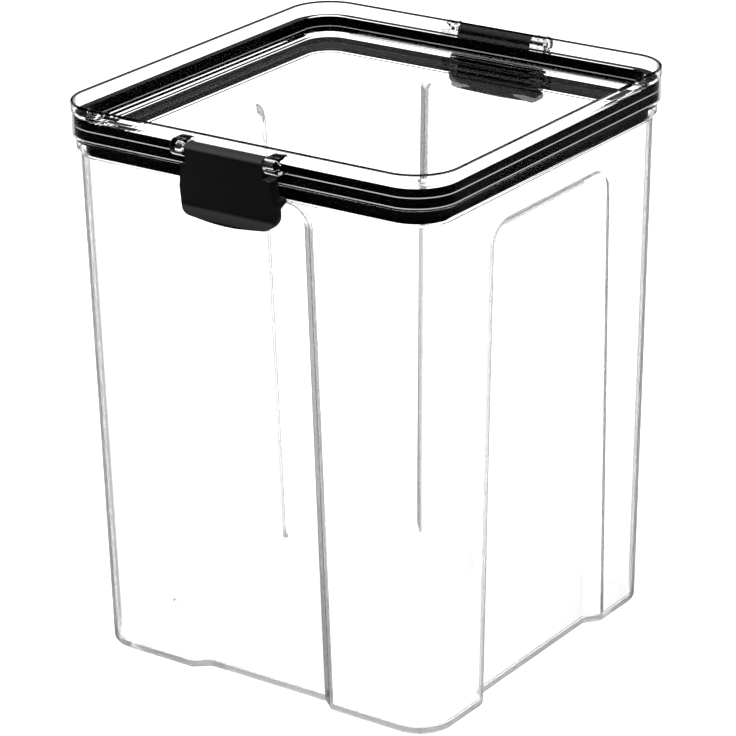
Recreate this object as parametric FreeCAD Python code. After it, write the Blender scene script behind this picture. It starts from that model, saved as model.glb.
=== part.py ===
"""Square clip-lid food canister: container, lid, seal ring and two hinged side clips.

Millimetres, +Z up.  The origin is on the resting plane, under the middle of the body.
The two clips are on the -Y (front) and +Y (back) sides.
"""
import FreeCAD, Part
import math
import os

V = FreeCAD.Vector

# ---- overall sizes -------------------------------------------------------------------
LID_SIDE = 177.0            # lid across its flats
HEIGHT = 232.0              # resting plane to the top edge of the lid
LID_CORNER = 18.4           # outer corner radius of the lid
BODY_TAPER = 0.9            # draft of the container walls, degrees
WALL = 2.0                  # container wall
FLOOR = 2.5                 # container floor
FOOT_ROUND = 2.5            # rounding of the bottom edge

# ---- wall recesses, which leave four corner posts -------------------------------------
RECESS_DEPTH = 5.0          # how far a panel is set back
RECESS_SLANT = 6.0          # width of the sloping side of a recess
RECESS_TOP_SLANT = 5.0      # height of its sloping top
RECESS_CORNER = 10.0        # top corner radius on the outer face
SIDE_RECESS_HALF = (45.2, 41.2)     # half width at the resting plane and at its top
CLIP_RECESS_HALF = (34.4, 31.4)     # the same under the clips
SIDE_RECESS_BELOW_PLUG = 13.0       # top of the recess below the lid's plug ring
CLIP_RECESS_BELOW_PLUG = 2.5
RUN_OUT = 4.0               # how far cutting tools pass the faces they cut

# ---- container rim --------------------------------------------------------------------
RIM_BELOW_LID = 10.9        # mouth of the container below the lid's top edge
FLANGE_BELOW_LID = 15.0     # top of the flange that the clips hook under
FLANGE_HEIGHT = 5.0
FLANGE_PROUD = 1.6          # past the wall

# ---- lid ------------------------------------------------------------------------------
LID_WALL = 1.8
BEAD_PROUD = 0.4            # bead round the top edge
BEAD_HEIGHT = 2.4
LEDGE_BELOW_LID = 4.5       # step inside the raised edge, over the seal
LEDGE_THICK = 1.5
PLATE_BELOW_LID = 10.9      # tray floor
PLATE_THICK = 1.9
SKIRT_GAP = 0.7             # between the skirt's lower edge and the flange
PLUG_BELOW_LID = 19.0       # lower edge of the ring that carries the seal's lip

# ---- seal -----------------------------------------------------------------------------
SEAL_FIT = 0.2              # gap between the seal and the container
SEAL_TOP_GAP = 0.25         # gap over the container's mouth
SEAL_WEB = 0.85             # thickness between the mouth and the lid's inner wall
SEAL_LIP = 0.9              # thickness of the inner lip past the web
SEAL_LIP_SHORT = 0.3        # lip above the lower edge of the plug ring
SEAL_LIP_DROP = 0.7         # top of the lip below the tray floor's underside
SEAL_APRON = 0.6            # thickness of the apron outside the mouth
SEAL_APRON_SHORT = 0.5      # apron above the skirt's lower edge

# ---- clips ----------------------------------------------------------------------------
CLIP_HALF = 18.0            # between the hinge ears
TAB_HALF = 22.0             # finger tab
PLATE_SPREAD = 2.4          # widening of the plate below the ears
EAR_CLEAR = 2.0             # between the ears and that widening
TAB_CORNER = 5.0
TAB_BOW = 2.5               # bow of the tab's lower edge
HINGE_BELOW_LID = 5.0
BARREL_RADIUS = 3.0
BARREL_GAP = 1.6            # between the barrel and the lid's side
PIN_RADIUS = 1.2
PIN_LENGTH = 4.4
PIN_CLEARANCE = 0.05        # radial running clearance
EAR_RADIUS = 3.4
EAR_GAP = 0.4
EAR_WIDTH = 6.6
PLATE_IN_OUT = 1.1          # inner face of the clip outboard of the lid's side
CLIP_THICK = 4.0
HOOK_GAP = 0.3              # between the hook and the flange
HOOK_WALL_GAP = 0.6         # between the hook and the container's wall
HOOK_THICK = 0.9
TAB_BELOW_FLANGE = 0.4      # shoulder of the tab below the flange
TAB_DROP = 13.0             # lowest point of the tab below the flange
TAB_FLARE = 2.6
TAB_STRAIGHT = 7.0          # length of the tab above its flare

LID_HALF = LID_SIDE / 2
SKIRT_HALF = LID_HALF - BEAD_PROUD
CHANNEL_OUTER = SKIRT_HALF - LID_WALL
MOUTH_HALF = CHANNEL_OUTER - SEAL_APRON - SEAL_FIT
BODY_CORNER = LID_CORNER - (LID_HALF - MOUTH_HALF)
SLOPE = math.tan(math.radians(BODY_TAPER))
RIM = HEIGHT - RIM_BELOW_LID
FLANGE_TOP = HEIGHT - FLANGE_BELOW_LID
FLANGE_BOTTOM = FLANGE_TOP - FLANGE_HEIGHT
SKIRT_BOTTOM = FLANGE_TOP + SKIRT_GAP
LEDGE_TOP = HEIGHT - LEDGE_BELOW_LID
PLATE_TOP = HEIGHT - PLATE_BELOW_LID
PLUG_BOTTOM = HEIGHT - PLUG_BELOW_LID
LIP_BOTTOM = PLUG_BOTTOM + SEAL_LIP_SHORT
HINGE_Y = -(LID_HALF + BARREL_GAP + BARREL_RADIUS)
HINGE_Z = HEIGHT - HINGE_BELOW_LID


def wall_half(z):
    """Half width of the container's outer face at a height."""
    return MOUTH_HALF - SLOPE * (RIM - z)


LIP_OUTER = wall_half(LIP_BOTTOM) - WALL - SEAL_FIT
CHANNEL_INNER = LIP_OUTER - SEAL_WEB
PLUG_HALF = CHANNEL_INNER - SEAL_LIP
FLANGE_HALF = wall_half(FLANGE_TOP) + FLANGE_PROUD
FLANGE_SLANT_TOP = FLANGE_BOTTOM + FLANGE_HALF - wall_half(FLANGE_BOTTOM)


def rounded_square(half, radius, z):
    """Closed wire: a square with rounded corners, at one height."""
    straight = half - radius
    diagonal = straight + radius * math.sqrt(0.5)
    edges = []
    for turn in range(4):
        c, s = (1, 0, -1, 0)[turn], (0, 1, 0, -1)[turn]

        def at(x, y):
            return V(x * c - y * s, x * s + y * c, z)

        edges.append(Part.makeLine(at(half, -straight), at(half, straight)))
        edges.append(Part.Arc(at(half, straight), at(diagonal, diagonal), at(straight, half)).toShape())
    return Part.Wire(edges)


def tapered(rings):
    """Solid through rounded squares given as (half, radius, z), bottom to top."""
    return Part.makeLoft([rounded_square(*ring) for ring in rings], True, True)


def prism(half, bottom, top):
    """Upright solid whose corners share their centres with the lid's corners."""
    radius = LID_CORNER - (LID_HALF - half)
    face = Part.Face(rounded_square(half, radius, bottom))
    return face.extrude(V(0, 0, top - bottom))


def ring(outer, inner, bottom, top):
    """Upright square ring between two half widths."""
    return prism(outer, bottom, top).cut(prism(inner, bottom, top))


def outline(corners, place):
    """Closed wire through (u, v, radius) corners, rounded where the radius isn't 0."""
    stops = []
    count = len(corners)
    for i, (u, v, radius) in enumerate(corners):
        here = V(u, v, 0)
        back = (V(*corners[i - 1][:2], 0) - here).normalize()
        ahead = (V(*corners[(i + 1) % count][:2], 0) - here).normalize()
        if radius:
            half_angle = back.getAngle(ahead) / 2
            reach = radius / math.tan(half_angle)
            middle = (back + ahead).normalize() * (radius / math.sin(half_angle) - radius)
            stops.append([here + back * reach, here + middle, here + ahead * reach])
        else:
            stops.append([here])
    edges = []
    for i, stop in enumerate(stops):
        points = [place(p.x, p.y) for p in stop]
        if len(points) == 3:
            edges.append(Part.Arc(*points).toShape())
        following = stops[(i + 1) % count][0]
        edges.append(Part.makeLine(points[-1], place(following.x, following.y)))
    return Part.Wire(edges)


def recess_tool(halves, top, shell):
    """Cutting solid of one recess on the -Y face; shell is the wall left behind it."""
    grow = shell * (math.hypot(RECESS_DEPTH, RECESS_SLANT) - RECESS_SLANT) / RECESS_DEPTH
    grow_top = shell * (math.hypot(RECESS_DEPTH, RECESS_TOP_SLANT) - RECESS_TOP_SLANT) / RECESS_DEPTH

    def wire(depth):
        share = (depth - shell) / RECESS_DEPTH
        low, high = -RUN_OUT, top + grow_top - RECESS_TOP_SLANT * share
        narrowing = (halves[1] - halves[0]) / top
        half_low = halves[0] + narrowing * low + grow - RECESS_SLANT * share
        half_high = halves[0] + narrowing * high + grow - RECESS_SLANT * share
        radius = RECESS_CORNER - RECESS_SLANT / 2 * share
        corners = [(-half_low, low, 0), (half_low, low, 0), (half_high, high, radius), (-half_high, high, radius)]
        return outline(corners, lambda u, v: V(u, depth - wall_half(v), v))

    return Part.makeLoft([wire(shell - RUN_OUT / 2), wire(RECESS_DEPTH + shell)], True, True)


def without_recesses(body, shell):
    """Take the four recesses out of a body; shell is the wall left behind them."""
    for turn in range(4):
        under_clip = turn % 2 == 0
        halves = CLIP_RECESS_HALF if under_clip else SIDE_RECESS_HALF
        below = CLIP_RECESS_BELOW_PLUG if under_clip else SIDE_RECESS_BELOW_PLUG
        tool = recess_tool(halves, PLUG_BOTTOM - below, shell)
        tool.rotate(V(0, 0, 0), V(0, 0, 1), 90 * turn)
        body = body.cut(tool)
    return body


def make_container():
    """Tapered square container with recessed panels, a floor, a mouth and a clip flange."""
    outer = tapered([(wall_half(z), BODY_CORNER, z) for z in (0, RIM)])
    outer = without_recesses(outer, 0)
    bottom_edges = [e for e in outer.Edges if e.BoundBox.ZMax < 0.01]
    outer = outer.makeFillet(FOOT_ROUND, bottom_edges)
    inside = tapered([(wall_half(z) - WALL, BODY_CORNER - WALL, z) for z in (FLOOR, RIM + RUN_OUT)])
    inside = without_recesses(inside, WALL)
    flange = tapered([
        (wall_half(FLANGE_BOTTOM), BODY_CORNER, FLANGE_BOTTOM),
        (FLANGE_HALF, BODY_CORNER + FLANGE_PROUD, FLANGE_SLANT_TOP),
        (FLANGE_HALF, BODY_CORNER + FLANGE_PROUD, FLANGE_TOP),
    ])
    return outer.fuse(flange).cut(inside).removeSplitter()


def make_ears():
    """Two clear hinge ears on the -Y side of the lid, bored for the clip's pins."""
    ears = []
    face = LID_WALL / 2 - SKIRT_HALF
    for side in (-1, 1):
        start = side * (CLIP_HALF + EAR_GAP)
        low, high = sorted((start, start + side * EAR_WIDTH))
        knuckle = Part.makeCylinder(EAR_RADIUS, high - low, V(low, HINGE_Y, HINGE_Z), V(1, 0, 0))
        web = Part.makeBox(high - low, face - HINGE_Y, 2 * EAR_RADIUS, V(low, HINGE_Y, HINGE_Z - EAR_RADIUS))
        depth = PIN_LENGTH + EAR_GAP
        bore = Part.makeCylinder(PIN_RADIUS + PIN_CLEARANCE, depth, V(side * CLIP_HALF, HINGE_Y, HINGE_Z), V(side, 0, 0))
        ears.append(knuckle.fuse(web).cut(bore))
    return ears


def make_lid():
    """Tray-shaped lid: raised edge, ledge, tray floor, seal channel, plug ring and ears."""
    tray = CHANNEL_INNER - LID_WALL
    ledge_bottom = LEDGE_TOP - LEDGE_THICK
    plate_bottom = PLATE_TOP - PLATE_THICK
    lid = ring(SKIRT_HALF, CHANNEL_OUTER, SKIRT_BOTTOM, HEIGHT)
    parts = [
        ring(LID_HALF, CHANNEL_OUTER, HEIGHT - BEAD_HEIGHT, HEIGHT),
        ring(CHANNEL_OUTER, tray, ledge_bottom, LEDGE_TOP),
        ring(CHANNEL_INNER, tray, PLATE_TOP, ledge_bottom),
        prism(CHANNEL_INNER, plate_bottom, PLATE_TOP),
        ring(PLUG_HALF, PLUG_HALF - LID_WALL, PLUG_BOTTOM, plate_bottom),
    ]
    for turn in (0, 180):
        for ear in make_ears():
            ear.rotate(V(0, 0, 0), V(0, 0, 1), turn)
            parts.append(ear)
    return lid.fuse(parts).removeSplitter()


def make_seal():
    """Seal ring over the container's mouth, with an outer apron and an inner lip."""
    over_mouth = RIM + SEAL_TOP_GAP
    lip_top = PLATE_TOP - PLATE_THICK - SEAL_LIP_DROP
    head = ring(CHANNEL_OUTER, CHANNEL_INNER, over_mouth, LEDGE_TOP - LEDGE_THICK)
    apron = ring(CHANNEL_OUTER, CHANNEL_OUTER - SEAL_APRON, SKIRT_BOTTOM + SEAL_APRON_SHORT, over_mouth)
    web = ring(LIP_OUTER, CHANNEL_INNER, LIP_BOTTOM, over_mouth)
    lip = ring(CHANNEL_INNER, PLUG_HALF, LIP_BOTTOM, lip_top)
    return head.fuse([apron, web, lip]).removeSplitter()


def make_clip():
    """Front clip in its locked place: barrel with two pins, plate, hook and finger tab."""
    inner = -(LID_HALF + PLATE_IN_OUT)
    outer = inner - CLIP_THICK
    tip = -(wall_half(FLANGE_BOTTOM) + HOOK_WALL_GAP)
    flange_edge = -(FLANGE_HALF + HOOK_GAP)
    hook_top = FLANGE_SLANT_TOP - HOOK_GAP
    tip_top = hook_top - (tip - flange_edge)
    low = FLANGE_BOTTOM - TAB_DROP
    crease = FLANGE_BOTTOM - TAB_STRAIGHT
    profile = outline([
        (HINGE_Y - BARREL_RADIUS, HINGE_Z, 0),
        (outer, crease, 4.0),
        (outer - TAB_FLARE, low, 0.6),
        (inner - TAB_FLARE, low, 0.6),
        (inner, crease, 3.0),
        (inner, tip_top - HOOK_THICK - 1.8, 0.5),
        (tip, tip_top - HOOK_THICK, 0.3),
        (tip, tip_top, 0),
        (flange_edge, hook_top, 0),
        (inner, hook_top, 0),
        (inner, HINGE_Z - BARREL_RADIUS, 0),
        (HINGE_Y + BARREL_RADIUS, HINGE_Z, 0),
    ], lambda u, v: V(-TAB_HALF, u, v))
    section = Part.Face(profile).extrude(V(2 * TAB_HALF, 0, 0))
    barrel = Part.makeCylinder(BARREL_RADIUS, 2 * TAB_HALF, V(-TAB_HALF, HINGE_Y, HINGE_Z), V(1, 0, 0))
    shoulder = FLANGE_BOTTOM - TAB_BELOW_FLANGE
    side_low = low + TAB_BOW
    top = HINGE_Z + BARREL_RADIUS
    spread = HINGE_Z - EAR_RADIUS - EAR_CLEAR
    spread_half = CLIP_HALF + PLATE_SPREAD
    face = outer - TAB_FLARE - RUN_OUT
    front = outline([
        (-TAB_HALF, side_low, TAB_CORNER),
        (0, low, 60.0),
        (TAB_HALF, side_low, TAB_CORNER),
        (TAB_HALF, shoulder, 1.0),
        (spread_half, spread, 1.0),
        (CLIP_HALF, spread, 0.5),
        (CLIP_HALF, top, 1.0),
        (-CLIP_HALF, top, 1.0),
        (-CLIP_HALF, spread, 0.5),
        (-spread_half, spread, 1.0),
        (-TAB_HALF, shoulder, 1.0),
    ], lambda u, v: V(u, face, v))
    window = Part.Face(front).extrude(V(0, tip + RUN_OUT - face, 0))
    clip = section.fuse(barrel).common(window)
    for side in (-1, 1):
        start = V(side * (CLIP_HALF - 1), HINGE_Y, HINGE_Z)
        clip = clip.fuse(Part.makeCylinder(PIN_RADIUS, PIN_LENGTH + 1, start, V(side, 0, 0)))
    return clip.removeSplitter()


def main():
    """Build every piece and write one STEP file for each."""
    os.makedirs("parts", exist_ok=True)
    clip_front = make_clip()
    clip_back = clip_front.copy()
    clip_back.rotate(V(0, 0, 0), V(0, 0, 1), 180)
    pieces = {
        "container": make_container(),
        "lid": make_lid(),
        "seal_ring": make_seal(),
        "clip_front": clip_front,
        "clip_back": clip_back,
    }
    for name, shape in pieces.items():
        box = shape.optimalBoundingBox(False)
        print(name, "valid", shape.isValid(), "solids", len(shape.Solids), "volume", round(shape.Volume),
              "z", round(box.ZMin, 2), round(box.ZMax, 2), "y", round(box.YMin, 2), round(box.YMax, 2))
        shape.exportStep("parts/" + name + ".step")


main()
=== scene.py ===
import logging
import math
from dataclasses import dataclass, replace
from enum import Enum
from typing import Callable

import bmesh
import bpy
import numpy as np
from mathutils import Matrix, Vector


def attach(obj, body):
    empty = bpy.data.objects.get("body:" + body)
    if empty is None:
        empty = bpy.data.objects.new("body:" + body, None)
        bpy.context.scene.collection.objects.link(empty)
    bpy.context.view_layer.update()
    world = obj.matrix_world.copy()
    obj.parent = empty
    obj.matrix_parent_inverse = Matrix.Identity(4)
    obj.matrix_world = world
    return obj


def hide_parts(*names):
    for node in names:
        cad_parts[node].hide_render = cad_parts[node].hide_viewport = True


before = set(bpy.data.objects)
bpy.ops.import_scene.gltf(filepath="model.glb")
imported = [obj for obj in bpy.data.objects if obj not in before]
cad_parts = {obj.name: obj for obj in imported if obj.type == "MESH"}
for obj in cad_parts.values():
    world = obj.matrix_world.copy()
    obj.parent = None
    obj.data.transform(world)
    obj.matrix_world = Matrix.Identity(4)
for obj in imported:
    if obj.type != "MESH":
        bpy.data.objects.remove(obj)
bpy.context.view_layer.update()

MM = 0.001
LOG = logging.getLogger("canister")

Profile = list[tuple[float, float, float]]
Loop = list[tuple[float, float]]
Span = tuple[float, float]
Colour = tuple[float, float, float, float]


class Side(Enum):
    """Side of the canister with ears and a clip, valued by its turn in degrees."""

    FRONT = 0
    BACK = 180


class Station(Enum):
    """Stretch of one side of the wall that a column of points stands on."""

    POST = "post"
    LEFT = "left fold"
    PANEL = "panel"
    RIGHT = "right fold"
    CORNER = "corner"


# ---------------------------------------------------------------------------
# Plane geometry
# ---------------------------------------------------------------------------

def rounded_line(corners: Profile, closed: bool, steps: int = 5, guard: float = 0.12) -> Loop:
    """Round the corners of a polyline and put guard points beside each rounding.

    Args:
        corners: (u, v, radius) of each corner.
        closed: True for a loop, False for an open line.
        steps: number of edges round one corner.
        guard: distance of a guard point from the end of a rounding.

    Returns:
        The points of the rounded line.
    """
    points: list[Vector] = []
    count = len(corners)
    for i, (u, v, radius) in enumerate(corners):
        here = Vector((u, v))
        if not closed and i in (0, count - 1) or radius == 0:
            points.append(here)
            continue
        back = Vector(corners[i - 1][:2]) - here
        ahead = Vector(corners[(i + 1) % count][:2]) - here
        room = (back.length, ahead.length)
        back.normalize()
        ahead.normalize()
        half = back.angle(ahead) / 2
        reach = radius / math.tan(half)
        centre = here + (back + ahead).normalized() * (radius / math.sin(half))
        start, stop = here + back * reach - centre, here + ahead * reach - centre
        turn = start.angle_signed(stop)
        needed = reach + 3 * guard
        if room[0] > needed:
            points.append(here + back * (reach + guard))
        for step in range(steps + 1):
            arm = start.copy()
            arm.rotate(Matrix.Rotation(-turn * step / steps, 2))
            points.append(centre + arm)
        if room[1] > needed:
            points.append(here + ahead * (reach + guard))
    return [(p.x, p.y) for p in points]


def square_path(half: float, radius: float, steps: int, guard: float) -> Loop:
    """Make a square with rounded corners, counter-clockwise, with guard points beside them.

    Args:
        half: half of the side.
        radius: corner radius.
        steps: edges round one corner.
        guard: distance of the guard points from the corners' ends.

    Returns:
        The points of the square.
    """
    corners = [(half, -half, radius), (half, half, radius), (-half, half, radius), (-half, -half, radius)]
    return rounded_line(corners, True, steps, guard)


def circle(radius: float, sides: int = 32) -> Loop:
    """Return the points of a circle round the origin."""
    return [(radius * math.cos(a), radius * math.sin(a)) for a in np.linspace(0, 2 * math.pi, sides + 1)[:-1]]


# ---------------------------------------------------------------------------
# Node helpers
# ---------------------------------------------------------------------------

class Nodes:
    """Short hand for placing and linking the nodes of one tree."""

    def __init__(self, tree: bpy.types.NodeTree) -> None:
        """Take the tree to build in."""
        self.tree = tree

    def add(self, kind: str, inputs: dict | None = None, **settings: object) -> bpy.types.Node:
        """Add a node.

        Args:
            kind: the node's Blender type name.
            inputs: input name or number to a value, or to an output socket to link.
            settings: attributes of the node.

        Returns:
            The new node.
        """
        node = self.tree.nodes.new(kind)
        for name, value in settings.items():
            setattr(node, name, value)
        for key, value in (inputs or {}).items():
            self.feed(node.inputs[key], value)
        return node

    def feed(self, socket: bpy.types.NodeSocket, value: object) -> None:
        """Give a socket its value.

        Args:
            socket: the input.
            value: an output socket to link to it, or the input's own value.
        """
        if isinstance(value, bpy.types.NodeSocket):
            self.tree.links.new(value, socket)
        else:
            socket.default_value = value

    def maths(self, operation: str, *values: object) -> bpy.types.NodeSocket:
        """Add a Math node and return its output."""
        return self.add("ShaderNodeMath", dict(enumerate(values)), operation=operation).outputs[0]

    def blend(self, factor: object, low: object, high: object) -> bpy.types.NodeSocket:
        """Mix two colours.

        Args:
            factor: 0 for the first colour, 1 for the second.
            low: first colour.
            high: second colour.

        Returns:
            The mixed colour.
        """
        factor_in, low_in, high_in, colour_out = 0, 6, 7, 2
        node = self.add("ShaderNodeMix", {factor_in: factor, low_in: low, high_in: high}, data_type="RGBA")
        return node.outputs[colour_out]

    def ramp(self, value: object, source: Span, target: tuple = (0.0, 1.0),
             kind: str = "SMOOTHSTEP") -> bpy.types.NodeSocket:
        """Carry a value from one range to another.

        Args:
            value: what is carried over.
            source: the range it comes from.
            target: the range it goes to, as numbers or sockets.
            kind: interpolation of the Map Range node.

        Returns:
            The value in its new range.
        """
        inputs = {"Value": value, "From Min": source[0], "From Max": source[1],
                  "To Min": target[0], "To Max": target[1]}
        return self.add("ShaderNodeMapRange", inputs, interpolation_type=kind).outputs[0]

    def upward(self, vector: object) -> bpy.types.NodeSocket:
        """Return the Z part of a position or a direction."""
        return self.add("ShaderNodeSeparateXYZ", {0: vector}).outputs["Z"]

    def level(self, where: object, heights: Span) -> bpy.types.NodeSocket:
        """Mark a range of heights.

        Args:
            where: the position.
            heights: lowest and highest height.

        Returns:
            1 between the two heights, else 0.
        """
        height = self.upward(where)
        above = self.maths("GREATER_THAN", height, heights[0])
        below = self.maths("LESS_THAN", height, heights[1])
        return self.maths("MULTIPLY", above, below)

    def mirrored(self) -> bpy.types.NodeSocket:
        """Tell mirrored light from light that comes straight or through a surface.

        Returns:
            1 for light that was mirrored off a surface, else 0.
        """
        path = self.add("ShaderNodeLightPath").outputs
        straight = self.maths("SUBTRACT", 1.0, path["Is Transmission Ray"])
        return self.maths("MULTIPLY", path["Is Glossy Ray"], straight)

    def noise(self, where: object, scale: float, detail: float = 3.0) -> bpy.types.NodeSocket:
        """Return a noise value at Object coordinates."""
        inputs = {"Vector": where, "Scale": scale, "Detail": detail}
        return self.add("ShaderNodeTexNoise", inputs).outputs["Fac"]


def socket_ids(tree: bpy.types.NodeTree) -> dict[str, str]:
    """Return the identifier of each named input of a geometry node tree."""
    return {item.name: item.identifier for item in tree.interface.items_tree if item.in_out == "INPUT"}


# ---------------------------------------------------------------------------
# Shader effects shared by the finishes
# ---------------------------------------------------------------------------

def handling_group() -> bpy.types.NodeTree:
    """Build the node group of light handling marks.

    Returns:
        A group that gives a roughness and a height from rubbed patches.
    """
    tree = bpy.data.node_groups.new("handling_marks", "ShaderNodeTree")
    for name, default in (("Patch Scale", 40.0), ("Fine Scale", 900.0), ("Low", 0.0), ("High", 0.1)):
        socket = tree.interface.new_socket(name, in_out="INPUT", socket_type="NodeSocketFloat")
        socket.default_value = default
    for name in ("Roughness", "Height"):
        tree.interface.new_socket(name, in_out="OUTPUT", socket_type="NodeSocketFloat")
    nodes = Nodes(tree)
    given = nodes.add("NodeGroupInput").outputs
    where = nodes.add("ShaderNodeTexCoord").outputs["Object"]
    patch = nodes.noise(where, given["Patch Scale"])
    fine = nodes.noise(where, given["Fine Scale"], 2.0)
    fine_share = 0.35
    patches = nodes.maths("MULTIPLY", patch, 1.0 - fine_share)
    mixed = nodes.maths("MULTIPLY_ADD", fine, fine_share, patches)
    rough = nodes.ramp(mixed, (0.3, 0.7), (given["Low"], given["High"]), "LINEAR")
    nodes.add("NodeGroupOutput", {"Roughness": rough, "Height": fine})
    return tree


@dataclass(frozen=True)
class Finish:
    """What every finish has: a name, a main shader and light handling marks."""

    name: str

    def principled(self, inputs: dict[str, object]) -> tuple[bpy.types.Material, Nodes, bpy.types.Node]:
        """Start the material.

        Args:
            inputs: values of the main shader's inputs.

        Returns:
            The material, its nodes and its main shader.
        """
        material = bpy.data.materials.new(self.name)
        material.use_nodes = True
        nodes = Nodes(material.node_tree)
        shader = material.node_tree.nodes["Principled BSDF"]
        for name, value in inputs.items():
            shader.inputs[name].default_value = value
        return material, nodes, shader

    def marks(self, nodes: Nodes, shader: bpy.types.Node, sizes: tuple[float, float, float, float],
              bump: Span | None = None) -> None:
        """Drive the roughness of a shader, and a fine bump if asked for, from the handling marks.

        Args:
            nodes: the material's nodes.
            shader: its main shader.
            sizes: patch scale, fine scale, lowest and highest roughness.
            bump: strength and distance of the bump.
        """
        tree = bpy.data.node_groups.get("handling_marks") or handling_group()
        group = nodes.add("ShaderNodeGroup", node_tree=tree)
        for name, value in zip(("Patch Scale", "Fine Scale", "Low", "High"), sizes):
            nodes.feed(group.inputs[name], value)
        nodes.feed(shader.inputs["Roughness"], group.outputs["Roughness"])
        if bump:
            strength, distance = bump
            lump = nodes.add("ShaderNodeBump", {
                "Strength": strength, "Distance": distance, "Height": group.outputs["Height"]})
            nodes.feed(shader.inputs["Normal"], lump.outputs["Normal"])


@dataclass(frozen=True)
class ClearPlastic(Finish):
    """Clear polished plastic, with painted shade that darkens the outer faces that turn edge on.

    Fields: colours of a face seen square on and of the painted shade edge on, and the facing values between
    which one turns into the other; a painted dark shade line between two heights; the index of refraction;
    the tint of mirrored light; the alpha away from the edges, and the heights where the alpha stays 1.
    """

    face_colour: Colour = (1.0, 1.0, 1.0, 1.0)
    edge_shade_colour: Colour = (0.1, 0.1, 0.11, 1.0)
    edge_shade_range: Span = (0.5, 0.85)
    painted_line_colour: Colour = (0.004, 0.004, 0.0045, 1.0)
    shade_line_heights: Span | None = None
    ior: float = 1.52
    mirror_tint: Colour = (0.0, 0.0, 0.0, 1.0)
    alpha: float = 1.0
    solid_heights: Span = (0.2105, 0.24)
    level_face: Span = (0.1, 0.45)

    def build(self) -> bpy.types.Material:
        """Make the material.

        Returns:
            The clear plastic.
        """
        material, nodes, shader = self.principled({
            "Transmission Weight": 1.0, "Specular Tint": self.mirror_tint, "IOR": self.ior})
        facing = nodes.add("ShaderNodeLayerWeight", {"Blend": 0.5}).outputs["Facing"]
        geometry = nodes.add("ShaderNodeNewGeometry").outputs
        tilt = nodes.maths("ABSOLUTE", nodes.upward(geometry["Normal"]))
        upright = nodes.ramp(tilt, self.level_face, (1.0, 0.0), "LINEAR")
        outside = nodes.maths("SUBTRACT", 1.0, geometry["Backfacing"])
        wall = nodes.maths("MULTIPLY", upright, outside)
        # painted shade: upright outer faces take the darker edge shade colour as they turn edge on
        edge = nodes.maths("MULTIPLY", nodes.ramp(facing, self.edge_shade_range), wall)
        colour = nodes.blend(edge, self.face_colour, self.edge_shade_colour)
        where = nodes.add("ShaderNodeTexCoord").outputs["Object"]
        # painted shade: a dark line round the piece between two heights
        if self.shade_line_heights:
            colour = nodes.blend(nodes.level(where, self.shade_line_heights), colour, self.painted_line_colour)
        nodes.feed(shader.inputs["Base Color"], colour)
        solid = nodes.maths("MAXIMUM", edge, nodes.level(where, self.solid_heights))
        nodes.feed(shader.inputs["Alpha"], nodes.maths("MULTIPLY_ADD", solid, 1.0 - self.alpha, self.alpha))
        self.marks(nodes, shader, (30.0, 90.0, 0.0, 0.008))
        return material


@dataclass(frozen=True)
class SealRubber(Finish):
    """Smooth black silicone without a sheen, with two painted highlight lines round it."""

    colour: Colour = (0.002, 0.002, 0.0022, 1.0)
    painted_line_colour: Colour = (0.6, 0.6, 0.61, 1.0)
    upper_highlight: Span = (0.22245, 0.22285)
    lower_highlight: Span = (0.2182, 0.21865)

    def build(self) -> bpy.types.Material:
        """Make the material.

        Returns:
            The black silicone.
        """
        material, nodes, shader = self.principled({"Specular IOR Level": 0.0, "IOR": 1.02})
        where = nodes.add("ShaderNodeTexCoord").outputs["Object"]
        # painted highlights: two light lines round the seal at two heights
        at_highlight = nodes.maths("ADD", nodes.level(where, self.upper_highlight), nodes.level(where, self.lower_highlight))
        nodes.feed(shader.inputs["Base Color"], nodes.blend(at_highlight, self.colour, self.painted_line_colour))
        self.marks(nodes, shader, (60.0, 300.0, 0.22, 0.34), (0.02, 0.00002))
        return material


@dataclass(frozen=True)
class SatinPlastic(Finish):
    """Black moulded plastic with a fine satin texture, with painted light making the faces that look up
    lighter.
    """

    colour: Colour = (0.003, 0.003, 0.0032, 1.0)
    top_light_colour: Colour = (0.07, 0.069, 0.068, 1.0)
    top_light_range: Span = (0.1, 0.55)
    mottle: float = 1.6
    mottle_scale: float = 120.0

    def build(self) -> bpy.types.Material:
        """Make the material.

        Returns:
            The black satin plastic.
        """
        material, nodes, shader = self.principled({"Specular IOR Level": 0.1, "IOR": 1.2})
        where = nodes.add("ShaderNodeTexCoord").outputs["Object"]
        lighter = tuple(self.mottle * c for c in self.colour[:3]) + (1.0,)
        face = nodes.blend(nodes.noise(where, self.mottle_scale), self.colour, lighter)
        normal = nodes.add("ShaderNodeNewGeometry").outputs["Normal"]
        # painted light from above: faces that look up get the lighter top colour
        lit_from_above = nodes.ramp(nodes.upward(normal), self.top_light_range)
        nodes.feed(shader.inputs["Base Color"], nodes.blend(lit_from_above, face, self.top_light_colour))
        self.marks(nodes, shader, (90.0, 2600.0, 0.30, 0.46), (0.25, 0.00006))
        return material


# ---------------------------------------------------------------------------
# Mesh helpers
# ---------------------------------------------------------------------------

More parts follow.
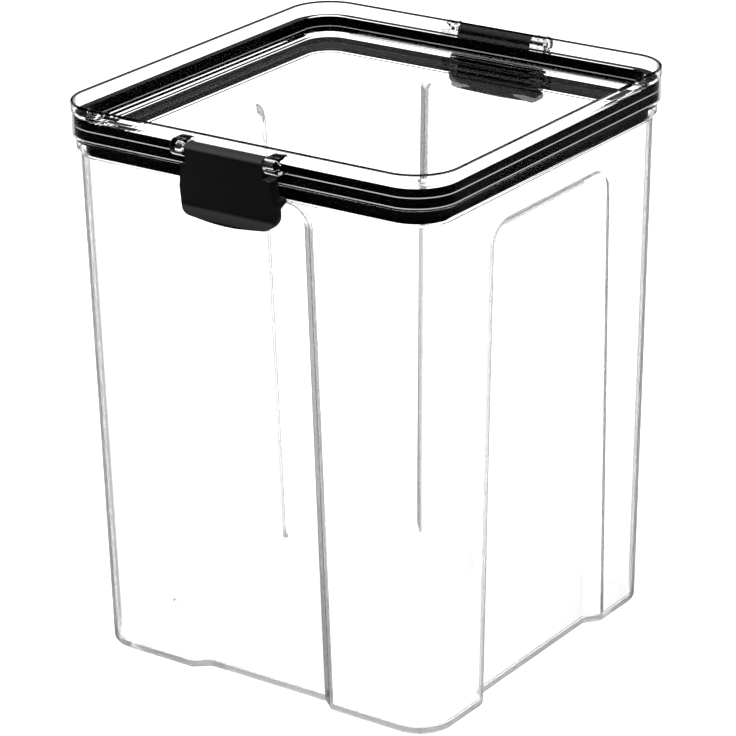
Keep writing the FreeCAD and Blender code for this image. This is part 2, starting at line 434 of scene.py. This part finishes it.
class Maker:
    """Turns points and node trees into finished pieces."""

    @staticmethod
    def mesh(name: str, points: np.ndarray, faces: list[tuple[int, ...]]) -> bpy.types.Object:
        """Make an object from points in millimetres and faces.

        Args:
            name: the object's name.
            points: array of n rows and 3 columns.
            faces: corner numbers of each face.

        Returns:
            The object, linked to the scene.
        """
        data = bpy.data.meshes.new(name)
        data.from_pydata((points * MM).tolist(), [], faces)
        data.update()
        piece = bpy.data.objects.new(name, data)
        bpy.context.collection.objects.link(piece)
        return piece

    @staticmethod
    def curve(name: str, points: list[tuple[float, float, float]], cyclic: bool) -> bpy.types.Object:
        """Make a helper curve of straight runs.

        Args:
            name: the helper's name.
            points: its points in metres.
            cyclic: whether it closes on itself.

        Returns:
            The curve, linked to the scene.
        """
        data = bpy.data.curves.new(name, "CURVE")
        data.dimensions = "3D"
        spline = data.splines.new("POLY")
        spline.points.add(len(points) - 1)
        for place, point in zip(spline.points, points):
            place.co = (*point, 1.0)
        spline.use_cyclic_u = cyclic
        helper = bpy.data.objects.new(name, data)
        bpy.context.collection.objects.link(helper)
        return helper

    @staticmethod
    def prism(name: str, outline: Loop, ends: Span, place: Callable, turn: int = 0) -> bpy.types.Object:
        """Extrude an outline between two distances.

        Args:
            name: the object's name.
            outline: its points.
            ends: start and end of the extrusion.
            place: turns (u, v, w) into a point.
            turn: degrees by which the result is turned about the upright axis.

        Returns:
            A closed mesh with its faces outwards.
        """
        count = len(outline)
        points = [place(u, v, w) for w in ends for u, v in outline]
        faces = [(i, (i + 1) % count, count + (i + 1) % count, count + i) for i in range(count)]
        faces += [tuple(range(count - 1, -1, -1)), tuple(range(count, 2 * count))]
        prism = Maker.mesh(name, np.array(points), faces)
        form = bmesh.new()
        form.from_mesh(prism.data)
        bmesh.ops.recalc_face_normals(form, faces=form.faces)
        bmesh.ops.transform(form, matrix=Matrix.Rotation(math.radians(turn), 4, "Z"), verts=form.verts)
        form.to_mesh(prism.data)
        form.free()
        return prism

    @staticmethod
    def baked(piece: bpy.types.Object) -> bpy.types.Object:
        """Replace an object's mesh by its evaluated one and take its modifiers off.

        Args:
            piece: the object.

        Returns:
            The same object.
        """
        bpy.context.view_layer.update()
        graph = bpy.context.evaluated_depsgraph_get()
        data = bpy.data.meshes.new_from_object(piece.evaluated_get(graph))
        old = piece.data
        piece.modifiers.clear()
        piece.data = data
        data.name = piece.name
        bpy.data.meshes.remove(old)
        return piece

    @staticmethod
    def drop(*helpers: bpy.types.Object) -> None:
        """Delete helper objects and their data.

        Args:
            helpers: the objects.
        """
        for helper in helpers:
            data = helper.data
            bpy.data.objects.remove(helper)
            (bpy.data.curves if isinstance(data, bpy.types.Curve) else bpy.data.meshes).remove(data)

    @staticmethod
    def cut(piece: bpy.types.Object, tool: bpy.types.Object, operation: str) -> None:
        """Apply a boolean of one tool to a piece, and delete the tool.

        Args:
            piece: the object that changes.
            tool: a closed mesh.
            operation: UNION, DIFFERENCE or INTERSECT.
        """
        modifier = piece.modifiers.new("cut", "BOOLEAN")
        modifier.operation = operation
        modifier.solver = "EXACT"
        modifier.object = tool
        Maker.baked(piece)
        Maker.drop(tool)

    @staticmethod
    def smooth(piece: bpy.types.Object, degrees: float = 32.0) -> None:
        """Shade smooth, with edges sharper than an angle kept sharp."""
        piece.data.shade_smooth()
        piece.data.set_sharp_from_angle(angle=math.radians(degrees))

    @staticmethod
    def refinish(piece: bpy.types.Object, material: bpy.types.Material, chosen: Callable) -> None:
        """Give some of a finished piece's faces a second material.

        Args:
            piece: the finished piece.
            material: the second material.
            chosen: tells from a face's middle whether the face gets it.
        """
        piece.data.materials.append(material)
        for face in piece.data.polygons:
            if chosen(face.center):
                face.material_index = 1

    @staticmethod
    def finish(piece: bpy.types.Object, material: bpy.types.Material, body: str, slot: str,
               *nodes: str) -> None:
        """Dress a piece, hang it on its body's empty, and hide the nodes that it replaces.

        Args:
            piece: the piece.
            material: its finish.
            body: the body that it moves with.
            slot: not used.
            nodes: the nodes that it replaces.
        """
        piece.data.materials.clear()
        piece.data.materials.append(material)
        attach(piece, body)
        if nodes:
            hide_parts(*nodes)
        triangles = sum(len(p.vertices) - 2 for p in piece.data.polygons)
        LOG.info("%s on %s: %d triangles", piece.name, body, triangles)


def sweep_tree() -> bpy.types.NodeTree:
    """Build the geometry node tree that carries a section round a path.

    Returns:
        A tree with the inputs Path, Section and Material.
    """
    tree = bpy.data.node_groups.new("section_round_path", "GeometryNodeTree")
    for name, kind in (("Path", "Object"), ("Section", "Object"), ("Material", "Material")):
        tree.interface.new_socket(name, in_out="INPUT", socket_type="NodeSocket" + kind)
    tree.interface.new_socket("Geometry", in_out="OUTPUT", socket_type="NodeSocketGeometry")
    nodes = Nodes(tree)
    given = nodes.add("NodeGroupInput").outputs
    path = nodes.add("GeometryNodeObjectInfo", {"Object": given["Path"]}).outputs["Geometry"]
    section = nodes.add("GeometryNodeObjectInfo", {"Object": given["Section"]}).outputs["Geometry"]
    swept = nodes.add("GeometryNodeCurveToMesh", {"Curve": path, "Profile Curve": section})
    real = nodes.add("GeometryNodeRealizeInstances", {"Geometry": swept.outputs[0]})
    dressed = nodes.add("GeometryNodeSetMaterial", {
        "Geometry": real.outputs[0], "Material": given["Material"]})
    nodes.add("NodeGroupOutput", {"Geometry": dressed.outputs[0]})
    return tree


@dataclass
class RimSweep:
    """Carries sections round the lid's outline; sections are (inboard of the side, below the top)."""

    side: float
    height: float
    corner: float
    steps: int = 20
    guard: float = 0.6

    def __post_init__(self) -> None:
        """Build the shared node tree."""
        self.tree = sweep_tree()

    def piece(self, name: str, section: Loop, closed: bool, material: bpy.types.Material) -> bpy.types.Object:
        """Sweep one section round the outline.

        Args:
            name: the piece's name.
            section: points of the section in millimetres.
            closed: whether the section is a loop.
            material: finish that the node tree sets.

        Returns:
            The swept piece as a plain mesh.
        """
        loop = square_path(self.side / 2, self.corner, self.steps, self.guard)
        path = Maker.curve("path", [(x * MM, y * MM, self.height * MM) for x, y in loop], True)
        line = Maker.curve("line", [(-d * MM, low * MM, 0.0) for d, low in section], closed)
        swept = Maker.mesh(name, np.zeros((0, 3)), [])
        modifier = swept.modifiers.new("sweep", "NODES")
        modifier.node_group = self.tree
        ids = socket_ids(self.tree)
        modifier[ids["Path"]] = path
        modifier[ids["Section"]] = line
        modifier[ids["Material"]] = material
        Maker.baked(swept)
        Maker.drop(path, line)
        return swept


# ---------------------------------------------------------------------------
# Container
# ---------------------------------------------------------------------------

@dataclass(frozen=True)
class Recess:
    """One set-back wall panel, open at the bottom."""

    half_low: float
    half_high: float
    top: float
    depth: float = 5.0
    slant: float = 6.0
    top_slant: float = 5.0
    corner: float = 11.0
    soft_outer: float = 0.9
    soft_inner: float = 0.7
    least_soft: float = 0.25

    def half(self, z: np.ndarray) -> np.ndarray:
        """Half width of the recess at a height."""
        return self.half_low + (self.half_high - self.half_low) * z / self.top

    def sink(self, across: np.ndarray, z: np.ndarray) -> np.ndarray:
        """Depth of the panel behind the wall's outer face.

        Args:
            across: distance from the panel's middle line.
            z: height.

        Returns:
            The depth, with both folds rounded.
        """
        u = np.abs(across) - self.half(z) + self.corner
        v = (z - self.top) * self.slant / self.top_slant + self.corner
        beyond = np.hypot(np.maximum(u, 0), np.maximum(v, 0))
        into = self.corner - (beyond + np.minimum(np.maximum(u, v), 0))
        slope = self.depth / self.slant
        return slope * (self.ramp(into, self.soft_outer) - self.ramp(into - self.slant, self.soft_inner))

    def moved(self, inset: float) -> "Recess":
        """Return the same panel as it lies a distance inside the outer face."""
        shift = inset * math.tan(math.atan2(self.depth, self.slant) / 2)
        return replace(self, half_low=self.half_low + shift, half_high=self.half_high + shift,
                       soft_outer=max(self.soft_outer - shift, self.least_soft),
                       soft_inner=self.soft_inner + shift)

    @staticmethod
    def ramp(t: np.ndarray, soft: float) -> np.ndarray:
        """A ramp that starts at 0 with a rounded bend."""
        bend = np.clip(t + soft, 0, 2 * soft)
        return bend ** 2 / (4 * soft) + np.maximum(t - soft, 0)


@dataclass
class Container:
    """The clear tapered container with four recessed panels and a flange under its mouth."""

    material: bpy.types.Material
    rim_material: bpy.types.Material
    mouth_half: float = 85.5
    rim: float = 221.1
    taper: float = 0.9
    corner: float = 15.4
    wall: float = 2.0
    floor: float = 2.5
    foot_round: float = 2.2
    flange_top: float = 217.0
    flange_low: float = 211.2
    flange_proud: float = 1.6
    flange_slope: float = 1.8
    floor_round: float = 1.8
    rim_low: float = 0.5
    rim_high: float = 0.8
    corner_steps: int = 18
    round_steps: int = 6
    side_recess: Recess = Recess(45.2, 41.2, 200.0)
    clip_recess: Recess = Recess(34.4, 31.4, 210.5)
    fold_columns: tuple[float, ...] = (
        -16, -14.5, -13, -11.8, -10.6, -9.6, -8.7, -8.0, -7.3, -6.9, -6.6, -6.3, -6.0, -5.7, -5.4, -5.0,
        -4.2, -3.3, -2.4, -1.5, -1.1, -0.8, -0.55, -0.3, -0.05, 0.2, 0.45, 0.7, 0.95, 1.4, 2.4, 4.0)
    panel_columns: tuple[float, ...] = (-0.8, -0.5, -0.2, 0.2, 0.5, 0.8)
    post_columns: tuple[float, ...] = (0.35, 0.7, 0.97)

    def half(self, z: np.ndarray) -> np.ndarray:
        """Half width of the outer face at a height."""
        return self.mouth_half - math.tan(math.radians(self.taper)) * (self.rim - z)

    def stations(self) -> list[tuple[int, Station, float]]:
        """List the columns of the wall, counter-clockwise.

        Returns:
            The side's number, the stretch of it and the place on that stretch, for each column.
        """
        folds, posts = self.fold_columns, self.post_columns
        found = []
        for side in range(4):
            found += [(side, Station.POST, -p) for p in reversed(posts)]
            found += [(side, Station.LEFT, n) for n in reversed(folds)]
            found += [(side, Station.PANEL, m) for m in self.panel_columns]
            found += [(side, Station.RIGHT, n) for n in folds]
            found += [(side, Station.POST, p) for p in posts]
            found += [(side, Station.CORNER, a) for a in np.linspace(0, 1, self.corner_steps + 1)]
        return found

    def outer(self, z: float, inset: float = 0.0) -> np.ndarray:
        """Points of the outer face at one height.

        Args:
            z: the height.
            inset: distance inside the outer face, kept all the way round.

        Returns:
            The points in order round the wall.
        """
        points = []
        half = float(self.half(np.array(z))) - inset
        straight = half + inset - self.corner
        arc = self.corner - inset
        inner, outer = -self.fold_columns[0], self.fold_columns[-1]
        for side, kind, value in self.stations():
            recess = (self.clip_recess if side % 2 == 0 else self.side_recess).moved(inset)
            edge = float(recess.half(np.array(z)))
            if kind is Station.CORNER:
                angle = math.radians(-90) + value * math.pi / 2
                x = straight + arc * math.cos(angle)
                y = -straight + arc * math.sin(angle)
            else:
                if kind is Station.PANEL:
                    x = value * (edge - inner)
                elif kind is Station.RIGHT:
                    x = edge + value
                elif kind is Station.LEFT:
                    x = -edge - value
                else:
                    x = math.copysign(edge + outer + abs(value) * (straight - edge - outer), value)
                y = -half + float(recess.sink(np.array(x), np.array(z)))
            c, s = (1, 0, -1, 0)[side], (0, 1, 0, -1)[side]
            points.append((x * c - y * s, x * s + y * c, z))
        return np.array(points)

    def heights(self) -> list[float]:
        """List the heights of the wall's rows, close together at the panels' top folds.

        Returns:
            The heights from the foot up.
        """
        rows = [self.foot_round, self.foot_round + 0.5, 12, 50, 100, 150, 178, 183]
        folds = ((185.0, 193.0, 0.9), (193.0, 196.6, 0.3), (196.7, 199.0, 0.7), (199.1, 202.0, 0.3),
                 (202.2, 204.0, 0.6), (204.2, 206.4, 0.3), (206.6, 209.4, 0.7), (209.5, 212.0, 0.3))
        for low, high, step in folds:
            rows += list(np.arange(low, high, step))
        return sorted(set(round(float(r), 3) for r in rows))

    def normals(self, z: float, nudge: float = 0.02) -> np.ndarray:
        """Find the outward normals of the outer face at one height, from small steps along it.

        Args:
            z: the height.
            nudge: size of the step up and down.

        Returns:
            One unit vector for each column.
        """
        here = self.outer(z)
        above, below = self.outer(z + nudge), self.outer(z - nudge)
        along = np.roll(here, -1, 0) - np.roll(here, 1, 0)
        across = np.cross(along, above - below)
        return across / np.linalg.norm(across, axis=1)[:, None]

    @staticmethod
    def inward(ring: np.ndarray, by: float) -> np.ndarray:
        """Move a level ring of points inward, square to its line.

        Args:
            ring: the points.
            by: the distance.

        Returns:
            The moved points.
        """
        along = np.roll(ring, -1, 0) - np.roll(ring, 1, 0)
        out = np.stack([along[:, 1], -along[:, 0], np.zeros(len(ring))], 1)
        out /= np.linalg.norm(out, axis=1)[:, None]
        return ring - out * by

    def rows(self) -> list[np.ndarray]:
        """List all rows of points, from the middle of the foot up the outside and down the inside.

        Returns:
            One ring of points for each row.
        """
        rows = []
        flat, count = 0.4, self.round_steps
        for step in range(-1, count):
            angle = math.radians(90 * max(step, 0) / count)
            inset = self.foot_round * (1 - math.sin(angle)) + (flat if step < 0 else 0.0)
            ring = self.outer(self.foot_round, inset)
            ring[:, 2] = self.foot_round * (1 - math.cos(angle))
            rows.append(ring)
        heights = self.heights()
        rows += [self.outer(z) for z in heights]
        top = self.outer(self.flange_low)
        section = [(0.0, self.flange_low - 3, 0.0), (0.0, self.flange_low, 0.6),
                   (self.flange_proud, self.flange_low + self.flange_slope, 1.6),
                   (self.flange_proud, self.flange_top, 0.5), (0.0, self.flange_top, 0.3),
                   (0.0, self.rim, 0.5), (-self.wall, self.rim, 0.5), (-self.wall, self.flange_low, 0.0)]
        taper = math.tan(math.radians(self.taper))
        for out, z in rounded_line(section, False, 4)[1:-1]:
            ring = self.inward(top, -out - taper * (z - self.flange_low))
            ring[:, 2] = z
            rows.append(ring)
        start = self.floor + self.floor_round
        inside = [start] + [z for z in heights if z > start + 0.5] + [self.flange_low]
        for z in reversed(inside):
            rows.append(self.outer(z) - self.normals(z) * self.wall)
        for step in range(1, count + 2):
            angle = math.radians(90 * min(step, count) / count)
            inset = self.wall + self.floor_round * (1 - math.cos(angle)) + (flat if step > count else 0.0)
            ring = self.outer(start, inset)
            ring[:, 2] = self.floor + self.floor_round * (1 - math.sin(angle))
            rows.append(ring)
        return rows

    def build(self) -> bpy.types.Object:
        """Make the container as one closed mesh.

        Returns:
            The container.
        """
        rows = self.rows()
        count = len(rows[0])
        faces = []
        for r in range(len(rows) - 1):
            for i in range(count):
                j = (i + 1) % count
                faces.append((r * count + i, r * count + j, (r + 1) * count + j, (r + 1) * count + i))
        faces.append(tuple(range(count - 1, -1, -1)))
        last = (len(rows) - 1) * count
        faces.append(tuple(range(last, last + count)))
        piece = Maker.mesh("clear_container", np.concatenate(rows), faces)
        Maker.smooth(piece, 40.0)
        Maker.finish(piece, self.material, "container", "clear_plastic", "container")
        low, high = (self.flange_low - self.rim_low) * MM, (self.flange_top - self.rim_high) * MM
        Maker.refinish(piece, self.rim_material, lambda middle: low < middle.z < high)
        return piece


# ---------------------------------------------------------------------------
# Lid, its ears and its seal
# ---------------------------------------------------------------------------

@dataclass
class Ear:
    """Clear hinge ears at the ends of a clip."""

    sweep: RimSweep
    radius: float = 3.4
    inner: float = 18.4
    width: float = 6.6
    out: float = 4.6
    below: float = 5.0
    root: float = 1.2
    steps: int = 24
    round_width: float = 1.0
    round_steps: int = 5
    bore: float = 1.25
    bore_depth: float = 4.8
    bore_start: float = 0.4

    def axis(self) -> tuple[float, float]:
        """Return the hinge axis of the front side as (y, z)."""
        return -(self.sweep.side / 2 + self.out), self.sweep.height - self.below

    def solid(self, mirror: int, side: Side) -> bpy.types.Object:
        """Make one ear.

        Args:
            mirror: -1 or 1, for the end of the clip that it is at.
            side: its side of the lid.

        Returns:
            The ear as a closed mesh.
        """
        y, z = self.axis()
        outline = []
        for step in range(self.steps + 1):
            angle = math.radians(90 + 180 * step / self.steps)
            outline.append((y + self.radius * math.cos(angle), z + self.radius * math.sin(angle)))
        inside = -self.sweep.side / 2 + self.root
        outline += [(inside, z - self.radius), (inside, z + self.radius)]
        ends = (self.inner, self.inner + self.width)
        ear = Maker.prism("ear", outline, ends, lambda u, v, w: (mirror * w, u, v), side.value)
        form = bmesh.new()
        form.from_mesh(ear.data)
        longest = 0.9 * self.width * MM
        rims = [e for e in form.edges if e.calc_length() < longest and self.is_rim(e)]
        bmesh.ops.bevel(form, geom=rims, offset=self.round_width * MM, segments=self.round_steps,
                        profile=0.5, affect="EDGES")
        form.to_mesh(ear.data)
        form.free()
        return ear

    @staticmethod
    def is_rim(edge: bmesh.types.BMEdge) -> bool:
        """Tell whether an edge lies round an end of the knuckle."""
        return len(edge.link_faces) == 2 and edge.calc_face_angle(0) > math.radians(60)

    def pin_hole(self, mirror: int, side: Side) -> bpy.types.Object:
        """Make the tool that bores one ear for the clip's pin.

        Args:
            mirror: -1 or 1, for the end of the clip that it is at.
            side: its side of the lid.

        Returns:
            The tool as a closed mesh.
        """
        y, z = self.axis()
        low = self.inner - self.bore_start
        return Maker.prism("bore", circle(self.bore), (low, low + self.bore_depth),
                           lambda u, v, w: (mirror * w, y + u, z + v), side.value)


@dataclass
class Lid:
    """The clear tray-shaped lid with its ears, and the seal ring in its channel."""

    sweep: RimSweep
    clear: bpy.types.Material
    ears: bpy.types.Material
    rubber: bpy.types.Material
    tray: float = 7.97
    raised: float = 1.05
    edge_in: float = 1.15
    edge_foot: float = 1.3
    bead_low: float = 3.8
    skirt_back: float = 0.25
    ledge: float = 4.2
    ledge_thick: float = 1.0
    plate: float = 10.9
    plate_thick: float = 1.9
    plate_in: float = 14.0
    skirt: float = 14.3
    channel: float = 6.17
    plug: float = 7.07
    plug_low: float = 21.0
    wall: float = 1.8
    air: float = 0.05
    seal_top: float = 5.9
    seal_flat: float = 0.45
    seal_slope: float = 3.2
    seal_low: float = 10.65
    apron: float = 2.8
    apron_low: float = 13.8
    lip: float = 5.32
    lip_top: float = 15.0
    lip_low: float = 20.7

    def section(self) -> Profile:
        """List the corners of the lid's section.

        Returns:
            Corners from the tray floor out over the edge and back under the plate.
        """
        ledge_low = self.ledge + self.ledge_thick
        plate_low = self.plate + self.plate_thick
        return [
            (self.plate_in, self.plate, 0.0),
            (self.tray, self.plate, 1.2),
            (self.tray, self.ledge, 0.5),
            (self.edge_foot, self.ledge, 0.4),
            (self.edge_in, 0.0, 0.5),
            (0.0, 0.0, 0.5),
            (0.0, self.bead_low, 0.3),
            (self.skirt_back, self.bead_low + 0.5, 0.3),
            (self.skirt_back, self.skirt, 0.75),
            (self.raised, self.skirt, 0.25),
            (self.raised, ledge_low, 0.2),
            (self.channel, ledge_low, 0.2),
            (self.channel, plate_low, 0.2),
            (self.plug, plate_low, 0.2),
            (self.plug, self.plug_low, 0.4),
            (self.plug + self.wall, self.plug_low, 0.4),
            (self.plug + self.wall, plate_low, 0.8),
            (self.plate_in, plate_low, 0.0),
        ]

    def build_lid(self) -> bpy.types.Object:
        """Make the lid as one closed mesh.

        Returns:
            The lid with its four ears.
        """
        lid = self.sweep.piece("clear_lid", rounded_line(self.section(), False), False, self.clear)
        form = bmesh.new()
        form.from_mesh(lid.data)
        bmesh.ops.holes_fill(form, edges=[e for e in form.edges if e.is_boundary], sides=0)
        bmesh.ops.recalc_face_normals(form, faces=form.faces)
        form.to_mesh(lid.data)
        form.free()
        ear = Ear(self.sweep)
        for side in Side:
            for mirror in (-1, 1):
                Maker.cut(lid, ear.solid(mirror, side), "UNION")
                Maker.cut(lid, ear.pin_hole(mirror, side), "DIFFERENCE")
        Maker.smooth(lid)
        Maker.finish(lid, self.clear, "lid", "clear_plastic", "lid")
        outside = (self.sweep.side / 2 + 0.3) * MM
        Maker.refinish(lid, self.ears, lambda middle: abs(middle.y) > outside)
        return lid

    def build_seal(self) -> bpy.types.Object:
        """Make the seal, a hair clear of the lid all round.

        Returns:
            The band in the channel and the lip round the plug, as one piece.
        """
        out, back, plug = self.raised + self.air, self.channel - self.air, self.plug - self.air
        upper = [
            (out, self.seal_top, 0.3),
            (self.raised + self.seal_flat, self.seal_top, 0.2),
            (back, self.seal_top + self.seal_slope, 0.15),
            (back, self.seal_low, 0.15),
            (self.apron, self.seal_low, 0.2),
            (self.apron, self.apron_low, 0.2),
            (out, self.apron_low, 0.2),
        ]
        lower = [(self.lip, self.lip_top, 0.3), (plug, self.lip_top, 0.3),
                 (plug, self.lip_low, 0.3), (self.lip, self.lip_low, 0.3)]
        seal = self.sweep.piece("seal_band", rounded_line(upper, True, 4), True, self.rubber)
        lip = self.sweep.piece("seal_lip", rounded_line(lower, True, 4), True, self.rubber)
        form = bmesh.new()
        form.from_mesh(seal.data)
        form.from_mesh(lip.data)
        form.to_mesh(seal.data)
        form.free()
        Maker.drop(lip)
        Maker.smooth(seal)
        Maker.finish(seal, self.rubber, "lid", "seal_rubber", "seal_ring")
        return seal


# ---------------------------------------------------------------------------
# Clips
# ---------------------------------------------------------------------------

@dataclass
class Clip:
    """A hinged snap clip: barrel with pins, plate, hook and flared finger tab."""

    material: bpy.types.Material
    half: float = 18.0
    spread: float = 20.4
    tab_half: float = 22.0
    hinge_y: float = -93.1
    hinge_z: float = 227.0
    barrel: float = 3.0
    tab_low: float = 199.4
    back: float = -89.6
    pin: float = 1.2
    pin_in: float = 2.0
    pin_out: float = 4.4
    edge_round: float = 0.45

    def side_profile(self) -> Loop:
        """Draw the clip seen from its side.

        Returns:
            The outline as (y, z).
        """
        corners = [
            (self.hinge_y - self.barrel, self.hinge_z, 0.0),
            (-93.6, 205.0, 5.0),
            (-96.0, self.tab_low, 0.9),
            (-92.2, self.tab_low, 0.8),
            (self.back, 205.0, 6.0),
            (self.back, 209.3, 0.5),
            (-85.96, 211.1, 0.3),
            (-85.96, 212.0, 0.1),
            (-87.34, 213.38, 0.1),
            (self.back, 213.38, 0.6),
            (self.back, self.hinge_z - self.barrel, 0.0),
            (self.hinge_y + self.barrel, self.hinge_z, 0.0),
        ]
        arc = []
        for step in range(1, 12):
            angle = math.radians(180 * step / 12)
            y = self.hinge_y + self.barrel * math.cos(angle)
            arc.append((y, self.hinge_z + self.barrel * math.sin(angle)))
        return rounded_line(corners, True, 6, 0.3) + arc

    def front_outline(self) -> Loop:
        """Draw the clip seen from its front.

        Returns:
            The outline as (x, z).
        """
        right = [(self.tab_half, 201.6, 5.0), (self.tab_half, 211.5, 1.0), (self.spread, 221.5, 1.0),
                 (self.half, 221.5, 0.5), (self.half, 230.0, 0.8)]
        left = [(-x, z, radius) for x, z, radius in reversed(right)]
        return rounded_line([left[-1], (0.0, self.tab_low, 60.0)] + right + left[:-1], True, 8, 0.3)

    def build(self, side: Side) -> bpy.types.Object:
        """Make one clip.

        Args:
            side: its side of the lid.

        Returns:
            The clip with its two pins.
        """
        body = "clip_" + side.name.lower()
        clip = Maker.prism("snap_" + body, self.side_profile(), (-26.0, 26.0), lambda u, v, w: (w, u, v))
        window = Maker.prism("window", self.front_outline(), (-98.0, -80.0), lambda u, v, w: (u, w, v))
        Maker.cut(clip, window, "INTERSECT")
        bevel = clip.modifiers.new("edges", "BEVEL")
        bevel.width = self.edge_round * MM
        bevel.segments = 3
        bevel.limit_method = "ANGLE"
        bevel.angle_limit = math.radians(40)
        bevel.use_clamp_overlap = True
        Maker.baked(clip)
        for end in (-1, 1):
            ends = (end * (self.half - self.pin_in), end * (self.half + self.pin_out))
            pin = Maker.prism("pin", circle(self.pin), ends,
                              lambda u, v, w: (w, self.hinge_y + u, self.hinge_z + v))
            Maker.cut(clip, pin, "UNION")
        clip.data.transform(Matrix.Rotation(math.radians(side.value), 4, "Z"))
        Maker.smooth(clip, 38.0)
        Maker.finish(clip, self.material, body, "clip_plastic", body)
        return clip


# ---------------------------------------------------------------------------
# Studio
# ---------------------------------------------------------------------------

@dataclass
class Studio:
    """Plain pale floor, soft light and the camera; distances in metres, lens and sensor in millimetres."""

    lens: float = 171.494022
    sensor: float = 36.0
    azimuth: float = 35.057
    elevation: float = 21.841
    distance: float = 1.4197
    target: float = 0.10955
    yaw: float = 0.0016
    pitch: float = 0.0008
    roll: float = 0.0146
    floor_glow: float = 1.13
    overhead: float = 0.65
    mirror_loss: float = 0.8

    def camera(self) -> None:
        """Place the camera."""
        data = bpy.data.cameras.new("camera")
        data.sensor_width = self.sensor
        data.lens = self.lens
        data.clip_start, data.clip_end = 0.05, 60.0
        camera = bpy.data.objects.new("camera", data)
        bpy.context.collection.objects.link(camera)
        a, e = math.radians(self.azimuth), math.radians(self.elevation)
        back = Vector((math.sin(a) * math.cos(e), -math.cos(a) * math.cos(e), math.sin(e)))
        right = (-back).cross(Vector((0, 0, 1))).normalized()
        up = right.cross(-back)
        level = Matrix((right, up, -back))
        turn = (Matrix.Rotation(self.roll, 3, "Z") @ Matrix.Rotation(self.pitch, 3, "X")
                @ Matrix.Rotation(self.yaw, 3, "Y"))
        axes = turn @ level
        frame_axes = Matrix((axes[0], axes[1], -axes[2])).transposed()
        place = Vector((0, 0, self.target)) + back * self.distance
        camera.matrix_world = Matrix.Translation(place) @ frame_axes.to_4x4()
        bpy.context.scene.camera = camera

    def floor(self) -> None:
        """Lay the pale floor."""
        data = bpy.data.meshes.new("floor")
        form = bmesh.new()
        bmesh.ops.create_circle(form, cap_ends=True, segments=96, radius=6.0)
        form.to_mesh(data)
        form.free()
        floor = bpy.data.objects.new("floor", data)
        floor.location.z = -0.0005
        bpy.context.collection.objects.link(floor)
        material = bpy.data.materials.new("studio_floor")
        material.use_nodes = True
        shader = material.node_tree.nodes["Principled BSDF"]
        shader.inputs["Base Color"].default_value = (0.8, 0.8, 0.8, 1)
        shader.inputs["Roughness"].default_value = 0.9
        shader.inputs["Specular IOR Level"].default_value = 0.0
        shader.inputs["Emission Color"].default_value = (1, 1, 1, 1)
        nodes = Nodes(material.node_tree)
        glow = nodes.maths("MULTIPLY_ADD", nodes.mirrored(), -self.mirror_loss, self.floor_glow)
        nodes.feed(shader.inputs["Emission Strength"], glow)
        data.materials.append(material)

    def world(self) -> None:
        """Light the scene from a white surround that is dimmer overhead."""
        world = bpy.data.worlds.new("studio")
        bpy.context.scene.world = world
        world.use_nodes = True
        nodes = Nodes(world.node_tree)
        background = world.node_tree.nodes["Background"]
        way = nodes.add("ShaderNodeTexCoord").outputs["Generated"]
        strength = nodes.ramp(nodes.upward(way), (0.08, 0.3), (1.0, self.overhead))
        background.inputs["Color"].default_value = (1, 1, 1, 1)
        softened = nodes.maths("MULTIPLY_ADD", nodes.mirrored(), -self.mirror_loss, 1.0)
        nodes.feed(background.inputs["Strength"], nodes.maths("MULTIPLY", strength, softened))

    def settings(self) -> None:
        """Let light through all the walls and keep white as white."""
        scene = bpy.context.scene
        scene.view_settings.view_transform = "Standard"
        scene.cycles.max_bounces = 32
        scene.cycles.transmission_bounces = 32
        scene.cycles.glossy_bounces = 8
        scene.cycles.transparent_max_bounces = 32
        scene.cycles.diffuse_bounces = 4
        scene.cycles.sample_clamp_indirect = 8.0

    def build(self) -> None:
        """Set up everything that isn't the object."""
        self.camera()
        self.floor()
        self.world()
        self.settings()


def main() -> None:
    """Build the canister and its studio."""
    logging.basicConfig(level=logging.INFO, format="%(name)s: %(message)s")
    Studio().build()
    # painted edge shade on the body: darker than on the lid
    body_clear = ClearPlastic("clear_body_plastic", edge_shade_colour=(0.03, 0.031, 0.034, 1.0),
                              edge_shade_range=(0.5, 0.66), alpha=0.88).build()
    # painted shade: a dark line along the lid's top edge
    clear = ClearPlastic("clear_lid_plastic", edge_shade_range=(0.5, 0.75), shade_line_heights=(0.2313, 0.2321),
                         ior=1.05).build()
    ear_clear = ClearPlastic("clear_ear_plastic").build()
    rubber = SealRubber("black_silicone").build()
    satin = SatinPlastic("black_satin_plastic").build()
    sweep = RimSweep(177.0, 232.0, 18.4)
    Container(body_clear, clear).build()
    lid = Lid(sweep, clear, ear_clear, rubber)
    lid.build_lid()
    lid.build_seal()
    clip = Clip(satin)
    for side in Side:
        clip.build(side)


if __name__ == "__main__":
    main()
